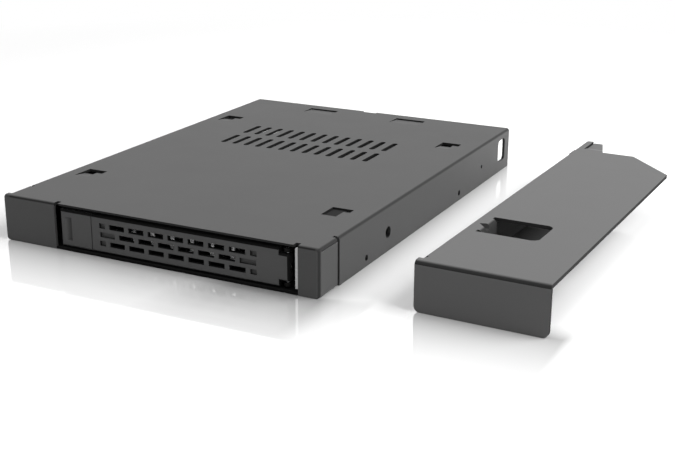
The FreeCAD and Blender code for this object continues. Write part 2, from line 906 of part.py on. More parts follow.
def make_carrier():
    body = new_body("tray_front")
    left, right = tray_left + s.carrier_side_gap, tray_right - s.carrier_side_gap
    top = tray_floor + s.carrier_height
    pad(body, "XZ", carrier_front, carrier_back, rectangle(left, right, tray_floor, top))
    windows_end = s.window_first + s.window_pitch * (s.window_count - 1) + s.window_width
    pocket(body, "XZ", carrier_front - past, carrier_back + past,
           rectangle(s.window_first, windows_end, s.window_bottom, s.window_bottom + s.window_height))
    # round seat for the hinge barrel, then the two ears that hold its pin
    pocket(body, "XY", tray_floor + s.ear_thickness, top - s.ear_thickness,
           circle(pin_x, pin_y, s.hinge_clearance))
    for low in (tray_floor, top - s.ear_thickness):
        pad(body, "XY", low, low + s.ear_thickness,
            rectangle(pin_x - s.ear_radius, pin_x + s.ear_radius, pin_y, carrier_back))
        pad(body, "XY", low, low + s.ear_thickness, circle(pin_x, pin_y, s.ear_radius))
    pocket(body, "XY", tray_floor - past, top + past, circle(pin_x, pin_y, s.pin_radius))
    # seats for the button's spring and pegs
    middle = (button_left + button_right) / 2
    pocket(body, "XZ", carrier_front - past, carrier_front + s.spring_seat_depth,
           circle(middle, door_middle, s.button_spring_radius + s.button_spring_wire))
    pocket(body, "XZ", carrier_front - past, carrier_back + past,
           *[circle(x, z, s.peg_radius + s.peg_play) for x, z in peg_places()])


def make_hinge_pin():
    body = new_body("hinge_pin")
    top = tray_floor + s.carrier_height
    pad(body, "XY", tray_floor, top, circle(pin_x, pin_y, s.pin_radius))


# Door: shallow moulded pan with brick-pattern slots, turning on a barrel at its right end

def door_slots():
    """Left ends of the through slots, row by row, and the blind pockets that end each row."""
    through, blind = [], []
    for row in (-1, 0, 1):
        low = door_middle + row * s.door_vent_row_pitch - s.door_vent_height / 2
        high = low + s.door_vent_height
        odd = row == 0
        start = door_left + s.door_vent_inset + (s.door_vent_pitch / 2 if odd else 0)
        count = SIZES["door_vent_count"] - (1 if odd else 0)
        for i in range(count):
            left = start + s.door_vent_pitch * i
            through.append(rectangle(left, left + s.door_vent_length, low, high))
        stub = s.door_vent_length if odd else s.door_vent_half
        before = start - s.door_vent_pitch + s.door_vent_length
        after = start + s.door_vent_pitch * count
        blind.append(rectangle(before - stub, before, low, high))
        blind.append(rectangle(after, after + stub, low, high))
    return through, blind


def make_door():
    body = new_body("door")
    front = s.door_recess
    notch = door_right - s.hinge_notch
    low, high = s.door_bottom + s.hinge_notch_bottom, door_top - s.hinge_notch_top
    shape = outline(
        (door_left, s.door_bottom), (notch, s.door_bottom), (notch, low), (door_right, low, s.door_edge),
        (door_right, high, s.door_edge), (notch, high), (notch, door_top), (door_left, door_top),
    )
    pad(body, "XZ", front, front + s.door_depth, shape)
    dress(
        "Chamfer", body, s.door_edge,
        {"y": front, "z": door_top}, {"y": front, "x": door_right}, {"y": front, "z": s.door_bottom},
    )
    rib = s.door_rib
    pocket(body, "XZ", front + s.door_plate, front + s.door_depth + past,
           rectangle(door_left + rib, notch - rib, s.door_bottom + rib, door_top - rib))
    through, blind = door_slots()
    pocket(body, "XZ", front - past, front + s.door_plate + past, *through)
    pocket(body, "XZ", front - past, front + s.door_vent_blind, *blind)
    pad(body, "XY", low, high, circle(pin_x, pin_y, s.barrel_radius))
    pocket(body, "XY", low - past, high + past, circle(pin_x, pin_y, s.pin_radius + s.pin_play))
    # the barrel is parted in the middle for the coil that throws the door open
    coil_low = door_middle - s.door_spring_slot / 2
    pocket(body, "XY", coil_low, coil_low + s.door_spring_slot,
           circle(pin_x, pin_y, s.barrel_radius + s.door_spring_room))


def make_button():
    body = new_body("release_button")
    front = s.door_recess
    pad(body, "XZ", front, front + s.door_depth,
        rectangle(button_left, button_right, s.door_bottom, door_top))
    dress(
        "Chamfer", body, s.door_edge,
        {"y": front, "z": door_top}, {"y": front, "z": s.door_bottom}, {"y": front, "x": button_left},
    )
    left = button_left + s.scoop_inset
    low = door_middle - s.scoop_height / 2
    deep = front + s.scoop_depth
    pocket(
        body, "XY", low, low + s.scoop_height,
        outline((left, front), (left + s.scoop_slope, deep), (left + s.scoop_width, deep),
                (left + s.scoop_width, front - past), (left, front - past)),
    )
    pad(body, "XZ", front + s.door_depth, front + s.door_depth + s.peg_length,
        *[circle(x, z, s.peg_radius) for x, z in peg_places()])


# Light pipe: upright blade beside the door and a rod back along the right rail to its lamp

def make_light_pipe():
    body = new_body("light_pipe")
    blade_back = s.pipe_recess + s.pipe_depth
    pad(body, "XY", s.pipe_bottom, cover_under - s.pipe_top_gap,
        rectangle(pipe_left, pipe_left + s.pipe_width, s.pipe_recess, blade_back))
    pad(body, "XZ", s.pipe_recess + s.pipe_depth / 2, rod_end,
        rectangle(rod_left, rod_left + s.pipe_rod, s.pipe_rod_bottom, s.pipe_rod_bottom + s.pipe_rod))


def make_lamp():
    body = new_body("status_lamp")
    front = rod_end + s.led_gap
    back = front + s.led_length
    right = rod_left + s.pipe_rod
    pad(body, "XY", board_top, s.pipe_rod_bottom + s.pipe_rod, rectangle(rod_left, right, front, back))
    dress("Fillet", body, s.led_edge, {"y": back, "x": rod_left}, {"y": back, "x": right})


# Circuit board with the drive's socket in front and the host plug behind

def make_board():
    body = new_body("backplane_board")
    right = rack_width - s.board_right_gap
    pad(body, "XY", board_bottom, board_top,
        rectangle(s.board_left, right, board_front, board_back, s.board_corner))
    pocket(body, "XY", board_bottom - past, board_top + past,
           *[circle(x, y, s.screw_radius) for x, y in boss_places()])


def make_contacts(name, segments, front, back, low):
    """Rows of flat contact fingers, one row for each half of a connector."""
    body = new_body(name, several=True)
    for left, _, count in segments:
        first = left + s.contact_pitch - s.contact_width / 2
        finger = pad(body, "XY", low, low + s.contact_thickness,
                     rectangle(first, first + s.contact_width, front, back))
        row_of(body, finger, "X", s.contact_pitch, count)


def connector_segments(left, width):
    """Left ends and widths of the data and power halves of a connector."""
    data = s.contact_pitch * (s.data_contacts + 1)
    power = s.contact_pitch * (s.power_contacts + 1)
    first = left + (width - data - power - s.segment_gap) / 2
    return (first, data, s.data_contacts), (first + data + s.segment_gap, power, s.power_contacts)


def make_drive_socket():
    body = new_body("drive_socket")
    left = tray_middle + s.plug_offset - s.plug_width / 2
    right = left + s.plug_width
    top = board_top + s.plug_height
    middle = board_top + s.plug_height / 2
    pad(body, "XY", board_top, top, rectangle(left, right, board_front, plug_front + s.plug_depth))
    pad(body, "XY", board_top + s.contact_thickness, top,
        rectangle(left, right, plug_front, board_front))
    low, high = middle - s.plug_slot_height / 2, middle + s.plug_slot_height / 2
    deep = plug_front + s.plug_slot_depth
    segments = connector_segments(left, s.plug_width)
    pocket(body, "XZ", plug_front - past, deep,
           *[rectangle(x, x + width, low, high) for x, width, _ in segments])
    make_contacts("drive_contacts", segments, deep - s.contact_length, deep, low)


def make_host_plug():
    body = new_body("host_plug")
    back = rack_depth - s.rear_wall_inset / 2
    front = back - s.host_length
    low, high = board_top, board_top + s.host_height
    right = s.host_left + s.host_width
    pad(body, "XY", low, high, rectangle(s.host_left, right, front, back))
    segments = connector_segments(s.host_left, s.host_width)
    mouth = back - s.host_cavity_depth
    wall = s.host_wall
    pocket(body, "XZ", mouth, back + past,
           *[rectangle(x, x + width, low + wall, high - wall) for x, width, _ in segments])
    tongue_low = (low + high - s.host_tongue) / 2
    tongue_high = tongue_low + s.host_tongue
    side = wall / 2
    pad(body, "XZ", mouth, back - wall,
        *[rectangle(x + side, x + width - side, tongue_low, tongue_high) for x, width, _ in segments])
    make_contacts("host_contacts", segments, mouth, mouth + s.contact_length, tongue_high)


def make_nut():
    body = new_body("clinch_nut")
    wall = rack_width - s.cover_sheet
    y, z = s.bracket_hole_y, s.bracket_hole_z
    pad(body, "YZ", wall - s.nut_length, wall, circle(y, z, s.nut_radius))
    pocket(body, "YZ", wall - s.nut_length - past, wall + past, circle(y, z, s.nut_bore))


# Side bracket: folded sheet, drawn in its own frame and stood beside the cage

def make_bracket():
    body = new_body("side_bracket")
    height, thick = rack_height, s.bracket_sheet
    length = rack_depth - s.bracket_shortfall
    knee = length - s.bracket_tongue_length
    pad(
        body, "XY", 0, height,
        outline(
            (0, 0), (s.bracket_width, 0), (s.bracket_width, knee - s.bracket_slope_length),
            (s.bracket_knee_width, knee), (s.bracket_tongue_root, knee),
            (s.bracket_tongue_tip, length), (0, length),
        ),
    )
    dress("Fillet", body, s.bracket_fold, {"x": 0, "z": height}, {"y": 0, "z": height}, {"x": 0, "y": 0})
    kept = faces_towards((0, -1, 0), (-1, 0, 0), (0, 0, 1))
    shell(body, thick, lambda face: isinstance(face.Surface, Part.Plane) and not kept(face))
    dress("Fillet", body, s.bracket_corner, {"x": s.bracket_width, "z": 0})
    nick_end = s.bracket_nick + s.bracket_nick_width
    pocket(body, "XY", -past, height + past, rectangle(-past, s.bracket_fold, s.bracket_nick, nick_end))
    side_flange(body, s.bracket_overhang, s.bracket_fold, thick)
    round_corner(body, -s.bracket_overhang, -1, s.bracket_corner, s.bracket_nick + s.bracket_nick_width / 2)
    # tongue whose right part is set down below the top
    start, stop = knee + s.joggle_start, knee + s.joggle_start + s.joggle_slope
    top, under = height - s.joggle_fall, height - thick - s.joggle_fall
    pocket(body, "XY", height - thick - past, height + past,
           rectangle(s.joggle_left, s.bracket_knee_width, start, length + past))
    pad(
        body, "YZ", s.joggle_left + s.joggle_slit, s.bracket_tongue_root,
        outline((start, height), (start, height - thick), (stop, under), (length, under),
                (length, top), (stop, top)),
    )
    lean = (s.bracket_tongue_root - s.bracket_tongue_tip) / s.bracket_tongue_length
    pocket(
        body, "XY", under - past, height + past,
        outline((s.bracket_tongue_root, knee), (s.bracket_tongue_root + past, knee),
                (s.bracket_tongue_root + past, length + past),
                (s.bracket_tongue_tip - lean * past, length + past)),
    )
    # window and the lug folded down from its left edge
    right = s.window_left + s.window_across
    back = s.window_front + s.window_along
    pocket(
        body, "XY", height - thick - past, height + past,
        outline((s.window_left, s.window_front), (right, s.window_front, s.window_corner),
                (right, back, s.window_corner), (s.window_left, back)),
    )
    face = s.window_left + s.bracket_fold
    pad(
        body, "XZ", s.window_front + s.lug_margin, back - s.lug_margin,
        outline(
            (s.window_left - thick, height), (face, height, s.bracket_fold), (face, s.lug_bottom),
            (face - thick, s.lug_bottom), (face - thick, height - thick, s.bracket_fold - thick),
            (s.window_left - thick, height - thick),
        ),
    )
    # gusset pressed into the lug's fold: a web behind it and a slanting groove in front
    middle = (s.window_front + back) / 2
    half = s.gusset_half_width
    pad(
        body, "XZ", middle - half, middle + half,
        outline((face - thick - s.gusset_web, height - thick), (face - thick / 2, height - thick),
                (face - thick / 2, height - thick - s.gusset_web),
                (face - thick, height - thick - s.gusset_web)),
    )
    groove = pocket(
        body, "YZ", face - s.gusset_reach, face + s.gusset_reach,
        outline((middle, height), (middle + half, height + s.gusset_fall),
                (middle - half, height + s.gusset_fall)),
    )
    groove.UseCustomVector = True
    groove.AlongSketchNormal = True
    bind(groove, "Direction.x", -s.gusset_reach)
    bind(groove, "Direction.z", s.gusset_fall)
    pocket(body, "YZ", -past, face + past, circle(middle, s.bracket_hole_z, s.bracket_hole_radius))
    # hook for the slot in the cage's side wall, as far behind the screw as that slot is
    play = s.bracket_hook_play
    hook_back = rack_depth - s.hook_slot_margin - s.bracket_hole_y + middle - play
    hook_front = hook_back - s.hook_slot_length + 2 * play
    hook_low = s.hook_slot_bottom + play
    tip = -s.bracket_hook_reach
    pad(
        body, "XY", hook_low, hook_low + s.hook_slot_height - 2 * play,
        outline((thick, hook_back - thick), (thick, hook_back), (tip, hook_back),
                (tip, hook_front), (tip + thick, hook_front), (tip + thick, hook_back - thick)),
    )
    body.Placement.Rotation = FreeCAD.Rotation(FreeCAD.Vector(0, 0, 1), SIZES["bracket_yaw"])
    bind(body, "Placement.Base.x", rack_width / 2 + s.bracket_spacing)
    bind(body, "Placement.Base.y", s.bracket_offset - rack_depth / 2)
    bind(body, "Placement.Rotation.Angle", s.bracket_yaw)


def make_springs():
    towards_back = FreeCAD.Rotation(FreeCAD.Vector(1, 0, 0), -90)
    wire = s.button_spring_wire
    length = carrier_front + s.spring_seat_depth - door_back - 2 * wire
    spring("button_spring", s.button_spring_radius, wire, length, s.button_spring_turns,
           ((button_left + button_right) / 2, door_back + wire, door_middle, towards_back))
    wire = s.door_spring_wire
    spring("door_spring", s.door_spring_radius, wire, s.door_spring_slot - 2 * wire, s.door_spring_turns,
           (pin_x, pin_y, door_middle - s.door_spring_slot / 2 + wire, FreeCAD.Rotation()))


def write_parts():
    """Check every object and sub-part, then write one STEP file for each node."""
    doc.recompute()
    for item in doc.Objects:
        if "Invalid" in item.State or "Error" in item.State:
            raise RuntimeError(f"{item.Name} failed: {item.State}")
        base = getattr(item, "BaseFeature", None)
        if item.isDerivedFrom("PartDesign::Pocket") and item.Shape.Volume > base.Shape.Volume - 1e-3:
            raise RuntimeError(f"{item.Name} cuts nothing")
    for node in NODES:
        if node.Shape.isNull() or not node.Shape.isValid():
            raise RuntimeError(f"{node.Label} has no valid shape")
    os.makedirs("parts", exist_ok=True)
    for node in NODES:
        node.Shape.exportStep(f"parts/{node.Label}.step")
        box = node.Shape.BoundBox
        print(f"{node.Label}: {len(node.Shape.Solids)} solid(s), {node.Shape.Volume:.1f} mm3, "
              f"{box.XLength:.2f} x {box.YLength:.2f} x {box.ZLength:.2f} mm")


make_cover()
make_pan()
make_rail("left_rail", left_rail_face, s.left_rail_width, -1)
make_rail("right_rail", right_rail_face, s.right_rail_width, 1)
make_screws("rail_screws", rail_screw_places(), s.pan_sheet + s.rail_sheet, s.screw_end_gap)
make_tray()
make_carrier()
make_hinge_pin()
make_door()
make_button()
make_springs()
make_light_pipe()
make_lamp()
make_board()
make_screws("board_screws", boss_places(), board_top, s.screw_end_gap)
make_drive_socket()
make_host_plug()
make_nut()
make_bracket()
write_parts()
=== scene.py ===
import bpy
import math
from mathutils import Matrix, Vector


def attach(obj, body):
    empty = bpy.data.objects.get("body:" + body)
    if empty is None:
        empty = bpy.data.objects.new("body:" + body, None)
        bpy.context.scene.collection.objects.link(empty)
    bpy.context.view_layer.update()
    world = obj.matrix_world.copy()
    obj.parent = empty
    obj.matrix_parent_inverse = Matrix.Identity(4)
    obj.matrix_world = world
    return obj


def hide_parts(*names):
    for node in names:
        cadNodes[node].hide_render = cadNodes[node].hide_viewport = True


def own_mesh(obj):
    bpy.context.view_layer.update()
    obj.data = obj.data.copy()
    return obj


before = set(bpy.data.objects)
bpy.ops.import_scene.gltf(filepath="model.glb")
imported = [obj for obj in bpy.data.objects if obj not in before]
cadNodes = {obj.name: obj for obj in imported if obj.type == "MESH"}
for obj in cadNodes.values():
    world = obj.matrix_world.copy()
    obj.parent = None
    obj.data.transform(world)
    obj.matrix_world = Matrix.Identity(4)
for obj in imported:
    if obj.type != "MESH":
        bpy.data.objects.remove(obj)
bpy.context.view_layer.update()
mm = 0.001  # lengths and places below are written in millimetres
print("frame loaded with", len(cadNodes), "nodes")

scene = bpy.context.scene
scene.view_settings.view_transform = "Standard"


# Camera at the photograph's viewing angle
cameraSettings = {
    "place": (172.83, -304.49, 108.35),
    "azimuth": 26.87,
    "elevation": 18.45,
    "roll": 0.2,
    "lens": 64.59,
    "sensor": 36.0,
    "clip": (10, 20000),
}


# Turns an object that looks along its own -Z to look along a direction
def turnTowards(direction):
    return direction.to_track_quat("-Z", "Y").to_matrix().to_4x4()


def makeCamera(settings):
    azimuth = math.radians(settings["azimuth"])
    elevation = math.radians(settings["elevation"])
    ahead = Vector((
        -math.sin(azimuth) * math.cos(elevation),
        math.cos(azimuth) * math.cos(elevation),
        -math.sin(elevation),
    ))
    data = bpy.data.cameras.new("camera")
    data.sensor_fit = "HORIZONTAL"
    data.sensor_width = settings["sensor"]
    data.lens = settings["lens"]
    data.clip_start, data.clip_end = [value * mm for value in settings["clip"]]
    camera = bpy.data.objects.new("camera", data)
    scene.collection.objects.link(camera)
    roll = Matrix.Rotation(math.radians(settings["roll"]), 4, "Z")
    camera.matrix_world = Matrix.Translation(Vector(settings["place"]) * mm) @ turnTowards(ahead) @ roll
    scene.camera = camera


makeCamera(cameraSettings)
print("camera placed")


# Helpers that add one node each and give back what it puts out
def addPlace(tree):
    return tree.nodes.new("ShaderNodeTexCoord").outputs


def addSplit(tree, vector):
    node = tree.nodes.new("ShaderNodeSeparateXYZ")
    tree.links.new(vector, node.inputs[0])
    return node.outputs


def addMath(tree, operation, first, second=None):
    node = tree.nodes.new("ShaderNodeMath")
    node.operation = operation
    for socket, value in zip(node.inputs, (first, second)):
        if value is None:
            continue
        if isinstance(value, (int, float)):
            socket.default_value = value
        else:
            tree.links.new(value, socket)
    return node.outputs[0]


def addVectorMath(tree, operation, *vectors):
    node = tree.nodes.new("ShaderNodeVectorMath")
    node.operation = operation
    for socket, vector in zip(node.inputs, vectors):
        tree.links.new(vector, socket)
    return node.outputs


def addRange(tree, value, low, high, newLow, newHigh):
    node = tree.nodes.new("ShaderNodeMapRange")
    for name, number in (("From Min", low), ("From Max", high), ("To Min", newLow), ("To Max", newHigh)):
        if isinstance(number, (int, float)):
            node.inputs[name].default_value = number
        else:
            tree.links.new(number, node.inputs[name])
    tree.links.new(value, node.inputs["Value"])
    return node.outputs["Result"]


def addNoise(tree, vector, scale, detail, roughness=0.55):
    node = tree.nodes.new("ShaderNodeTexNoise")
    node.inputs["Scale"].default_value = scale
    node.inputs["Detail"].default_value = detail
    node.inputs["Roughness"].default_value = roughness
    tree.links.new(vector, node.inputs["Vector"])
    return node.outputs["Fac"]


def mixColours(tree, factor, first, second):
    node = tree.nodes.new("ShaderNodeMix")
    node.data_type = "RGBA"
    tree.links.new(factor, node.inputs[0])
    for socket, colour in ((node.inputs[6], first), (node.inputs[7], second)):
        if isinstance(colour, (tuple, list)):
            socket.default_value = (*colour, 1.0)
        else:
            tree.links.new(colour, socket)
    return node.outputs[2]


def mixShaders(tree, factor, first, second):
    node = tree.nodes.new("ShaderNodeMixShader")
    for socket, value in zip(node.inputs, (factor, first, second)):
        tree.links.new(value, socket)
    return node.outputs[0]


# Largest of several values, or none where the list is empty
def largestOf(tree, values):
    largest = None
    for value in values:
        largest = value if largest is None else addMath(tree, "MAXIMUM", largest, value)
    return largest


def grey(level):
    return (level, level, level)


# Floor, lamps and world
white = (1, 1, 1, 1)
studio = {
    "floorColour": 0.98,
    "floorDim": 0.38,  # what the floor throws back onto the object
    "floorRoughness": 0.05,
    # sheen polished in round the cage and before both fronts: its strength, its bounds in X and in Y
    # and how far it fades out to the left, right, front and back
    "floorPolish": [
        (0.56, (-47.8, 47.8), (-67.0, 67.0), (5, 15, 60, 5)),
        (0.56, (-47.8, 47.8), (-67.0, -67.0), (5, 24, 60, 10)),
        (0.74, (26.0, 47.8), (-67.0, -67.0), (60, 16, 60, 10)),
        (0.56, (71.0, 106.3), (-63.4, -63.4), (3, 5, 60, 10)),
        (0.56, (71.0, 90.0), (-63.4, 60.0), (3, 16, 30, 12)),
    ],
    "polishFalloff": 1.6,
    "floorEnd": (220, 360),  # where the floor runs into the white backdrop, from the middle
    "floorSize": 8000,
    "floorDrop": 0.05,
    "ambient": 0.28,
    "lamps": [
        # name, place, aimed at, size, power and whether sheens show it
        ("overheadSoftbox", (-60, -80, 900), (20, 0, 0), 900, 3.6, True),
        ("rightSoftbox", (760, 120, 420), (40, 0, 0), 1000, 13.8, False),
    ],
}


# One on rays that look at the floor or the world, straight, mirrored or through the light guide,
# and nothing on those that only bring light to the object
def seenRays(tree):
    path = tree.nodes.new("ShaderNodeLightPath").outputs
    return largestOf(tree, [path["Is Camera Ray"], path["Is Glossy Ray"], path["Is Transmission Ray"]])


# Strength of the sheen on each polished patch, falling smoothly to nothing at the ends of its fade
def polishMask(tree, settings):
    spot = addSplit(tree, addPlace(tree)["Object"])
    sheens = []
    for strength, boundsX, boundsY, (left, right, front, back) in settings["floorPolish"]:
        squares = []
        for axis, (low, high), before, after in (("X", boundsX, left, right), ("Y", boundsY, front, back)):
            short = addRange(tree, spot[axis], (low - before) * mm, low * mm, 1.0, 0.0)
            past = addRange(tree, spot[axis], high * mm, (high + after) * mm, 0.0, 1.0)
            squares.append(addMath(tree, "POWER", addMath(tree, "MAXIMUM", short, past), 2.0))
        reach = addMath(tree, "SQRT", addMath(tree, "ADD", *squares))
        near = addRange(tree, reach, 0.0, 1.0, 1.0, 0.0)
        fading = addMath(tree, "POWER", near, settings["polishFalloff"])
        sheens.append(addMath(tree, "MULTIPLY", fading, strength))
    return largestOf(tree, sheens)


def makeFloorFinish(settings):
    material = bpy.data.materials.new("whiteFloor")
    material.use_nodes = True
    tree = material.node_tree
    tree.nodes.remove(tree.nodes["Principled BSDF"])
    seen = seenRays(tree)
    sheet = tree.nodes.new("ShaderNodeBsdfDiffuse")
    colour = mixColours(tree, seen, grey(settings["floorDim"]), grey(settings["floorColour"]))
    tree.links.new(colour, sheet.inputs["Color"])
    gloss = tree.nodes.new("ShaderNodeBsdfGlossy")
    gloss.inputs["Color"].default_value = white
    gloss.inputs["Roughness"].default_value = settings["floorRoughness"]
    sheen = addMath(tree, "MULTIPLY", seen, polishMask(tree, settings))
    polished = mixShaders(tree, sheen, sheet.outputs[0], gloss.outputs[0])
    backdrop = tree.nodes.new("ShaderNodeEmission")
    backdrop.inputs["Color"].default_value = white
    away = addVectorMath(tree, "LENGTH", addPlace(tree)["Object"])["Value"]
    near, far = settings["floorEnd"]
    ended = addMath(tree, "MULTIPLY", seen, addRange(tree, away, near * mm, far * mm, 0.0, 1.0))
    surface = mixShaders(tree, ended, polished, backdrop.outputs[0])
    tree.links.new(surface, tree.nodes["Material Output"].inputs["Surface"])
    return material


def makeFloor(settings):
    bpy.ops.object.select_all(action="DESELECT")
    bpy.ops.mesh.primitive_plane_add(size=settings["floorSize"] * mm)
    floor = bpy.context.object
    floor.name = "studioFloor"
    bpy.ops.object.mode_set(mode="EDIT")
    bpy.ops.mesh.select_all(action="SELECT")
    bpy.ops.transform.translate(value=(0, 0, -settings["floorDrop"] * mm))
    bpy.ops.object.mode_set(mode="OBJECT")
    floor.data.materials.append(makeFloorFinish(settings))


def makeLamp(name, place, target, size, power, mirrored):
    data = bpy.data.lights.new(name, "AREA")
    data.shape = "DISK"
    data.size = size * mm
    data.energy = power
    lamp = bpy.data.objects.new(name, data)
    scene.collection.objects.link(lamp)
    turn = turnTowards(Vector(target) - Vector(place))
    lamp.matrix_world = Matrix.Translation(Vector(place) * mm) @ turn
    lamp.visible_glossy = mirrored


def makeWorld(settings):
    world = bpy.data.worlds.new("studioWorld")
    world.use_nodes = True
    scene.world = world
    tree = world.node_tree
    background = tree.nodes["Background"]
    background.inputs["Color"].default_value = white
    strength = addRange(tree, seenRays(tree), 0, 1, settings["ambient"], 1.0)
    tree.links.new(strength, background.inputs["Strength"])


makeFloor(studio)
for lamp in studio["lamps"]:
    makeLamp(*lamp)
makeWorld(studio)
print("studio ready")


# Effects that several finishes share
def newGroup(name, inputs, outputs):
    group = bpy.data.node_groups.new(name, "ShaderNodeTree")
    for socketName, kind, value in inputs:
        socket = group.interface.new_socket(name=socketName, in_out="INPUT", socket_type=kind)
        if value is not None:
            socket.default_value = value
    for socketName in outputs:
        group.interface.new_socket(name=socketName, in_out="OUTPUT", socket_type="NodeSocketFloat")
    given = group.nodes.new("NodeGroupInput").outputs
    return group, given, group.nodes.new("NodeGroupOutput").inputs


# Fine orange-peel of a baked coat or of a spark-eroded mould, with broad mottling
def makeGrainGroup():
    group, given, result = newGroup(
        "surfaceGrain",
        [("Fine Scale", "NodeSocketFloat", 4000.0), ("Broad Scale", "NodeSocketFloat", 60.0)],
        ["Height", "Mottle"],
    )
    dotRadius, dotShare = 0.5, 0.35
    place = addPlace(group)
    fine = group.nodes.new("ShaderNodeTexNoise")
    fine.inputs["Detail"].default_value = 2.0
    broad = group.nodes.new("ShaderNodeTexNoise")
    broad.inputs["Detail"].default_value = 4.0
    speck = group.nodes.new("ShaderNodeTexVoronoi")
    for node, scale in ((fine, "Fine Scale"), (broad, "Broad Scale"), (speck, "Fine Scale")):
        group.links.new(place["Object"], node.inputs["Vector"])
        group.links.new(given[scale], node.inputs["Scale"])
    dots = addRange(group, speck.outputs["Distance"], 0.0, dotRadius, 1.0, 0.0)
    height = addMath(group, "ADD", fine.outputs["Fac"], addMath(group, "MULTIPLY", dots, dotShare))
    group.links.new(height, result["Height"])
    group.links.new(broad.outputs["Fac"], result["Mottle"])
    return group


# Drawn lines of rolled or brushed metal along one axis
def makeBrushGroup():
    group, given, result = newGroup(
        "rolledLines",
        [("Stretch", "NodeSocketVector", (1.0, 1.0, 1.0))],
        ["Height", "Streak", "Stain"],
    )
    lineScale, streakScale = 1.0, 0.25
    stainSize = 14
    place = addPlace(group)
    stretched = addVectorMath(group, "MULTIPLY", place["Object"], given["Stretch"])["Vector"]
    group.links.new(addNoise(group, stretched, lineScale, 4.0), result["Height"])
    group.links.new(addNoise(group, stretched, streakScale, 2.0), result["Streak"])
    group.links.new(addNoise(group, place["Object"], 1 / (stainSize * mm), 4.0), result["Stain"])
    return group


# Where a softened edge turns away from the flat face, for rubbed corners
def makeEdgeGroup():
    group, given, result = newGroup("rubbedEdge", [("Soft Normal", "NodeSocketVector", None)], ["Mask"])
    fullyTurned = 0.75
    flat = group.nodes.new("ShaderNodeNewGeometry").outputs["Normal"]
    turned = addVectorMath(group, "DOT_PRODUCT", given["Soft Normal"], flat)["Value"]
    group.links.new(addRange(group, turned, 1.0, fullyTurned, 0.0, 1.0), result["Mask"])
    return group


# Folds of a sheet, where the face looks along none of the three axes and not down: the places of the painted
# shade on folds and chamfers
def makeFoldGroup():
    group, given, result = newGroup(
        "sheetFold",
        [("Flat", "NodeSocketFloat", 0.985), ("Turned", "NodeSocketFloat", 0.86)],
        ["Mask"],
    )
    lowestLook = -0.3
    normal = addPlace(group)["Normal"]
    parts = addSplit(group, addVectorMath(group, "ABSOLUTE", normal)["Vector"])
    largest = largestOf(group, [parts["X"], parts["Y"], parts["Z"]])
    folded = addRange(group, largest, given["Flat"], given["Turned"], 0.0, 1.0)
    notDown = addMath(group, "GREATER_THAN", addSplit(group, normal)["Z"], lowestLook)
    group.links.new(addMath(group, "MULTIPLY", folded, notDown), result["Mask"])
    return group


# Walls of the openings punched through a top sheet, inside its outline, and the tab set down in the
# opening at the front right, which get painted shade
def makePunchGroup():
    group, given, result = newGroup(
        "punchedWall",
        [("Half Width", "NodeSocketFloat", 1.0), ("Half Depth", "NodeSocketFloat", 1.0),
         ("Underside", "NodeSocketFloat", 0.0), ("Tab Level", "NodeSocketFloat", 0.0)],
        ["Mask"],
    )
    steep = 0.8  # a normal that rises less belongs to a wall
    tabBlend = 0.1
    place = addPlace(group)
    spot = addSplit(group, place["Object"])
    rise = addSplit(group, place["Normal"])["Z"]
    upright = addMath(group, "LESS_THAN", addMath(group, "ABSOLUTE", rise), steep)
    level = addMath(group, "SUBTRACT", spot["Z"], given["Tab Level"])
    lowered = addMath(group, "MULTIPLY", addMath(group, "GREATER_THAN", rise, steep),
                      addRange(group, level, tabBlend * mm, 0.0, 0.0, 1.0))
    frontRight = addMath(group, "MULTIPLY", addMath(group, "GREATER_THAN", spot["X"], 0.0),
                         addMath(group, "LESS_THAN", spot["Y"], 0.0))
    counted = addMath(group, "MAXIMUM", upright, addMath(group, "MULTIPLY", lowered, frontRight))
    across = addMath(group, "LESS_THAN", addMath(group, "ABSOLUTE", spot["X"]), given["Half Width"])
    along = addMath(group, "LESS_THAN", addMath(group, "ABSOLUTE", spot["Y"]), given["Half Depth"])
    inside = addMath(group, "MULTIPLY", across, along)
    above = addMath(group, "GREATER_THAN", spot["Z"], given["Underside"])
    mask = addMath(group, "MULTIPLY", addMath(group, "MULTIPLY", counted, inside), above)
    group.links.new(mask, result["Mask"])
    return group


# How far a moulding's surface lies behind its front, leaving out faces that look to the back, for painted
# shade in recesses
def makeRecessGroup():
    group, given, result = newGroup(
        "recessDepth",
        [("Front", "NodeSocketFloat", 0.0), ("Depth", "NodeSocketFloat", 1.0),
         ("Floor Share", "NodeSocketFloat", 1.0)],
        ["Mask"],
    )
    backLook = 0.5
    wallLook, floorLook = -0.95, -0.99  # a recess's floor looks straight to the front
    place = addPlace(group)
    look = addSplit(group, place["Normal"])["Y"]
    behind = addMath(group, "SUBTRACT", addSplit(group, place["Object"])["Y"], given["Front"])
    deep = addMath(group, "MULTIPLY", addRange(group, behind, 0.0, given["Depth"], 0.0, 1.0),
                   addMath(group, "LESS_THAN", look, backLook))
    share = addRange(group, look, wallLook, floorLook, 1.0, given["Floor Share"])
    group.links.new(addMath(group, "MULTIPLY", deep, share), result["Mask"])
    return group


# Strip along the front of a sheet, up to a place behind it: painted shade on the pan's front and a painted
# highlight on the tray's front wall
def makeStripGroup():
    group, given, result = newGroup("frontStrip", [("Back", "NodeSocketFloat", 0.0)], ["Mask"])
    fade = 4
    behind = addMath(group, "SUBTRACT", addSplit(group, addPlace(group)["Object"])["Y"], given["Back"])
    group.links.new(addRange(group, behind, 0.0, fade * mm, 1.0, 0.0), result["Mask"])
    return group


# Faces that look to the right, the inside of a wall at the left and the cut edge opposite, which get painted
# shade
def makeRightGroup():
    group, _, result = newGroup("rightFacing", [], ["Mask"])
    slanted, straight = 0.7, 0.9
    look = addSplit(group, addPlace(group)["Normal"])["X"]
    group.links.new(addRange(group, look, slanted, straight, 0.0, 1.0), result["Mask"])
    return group


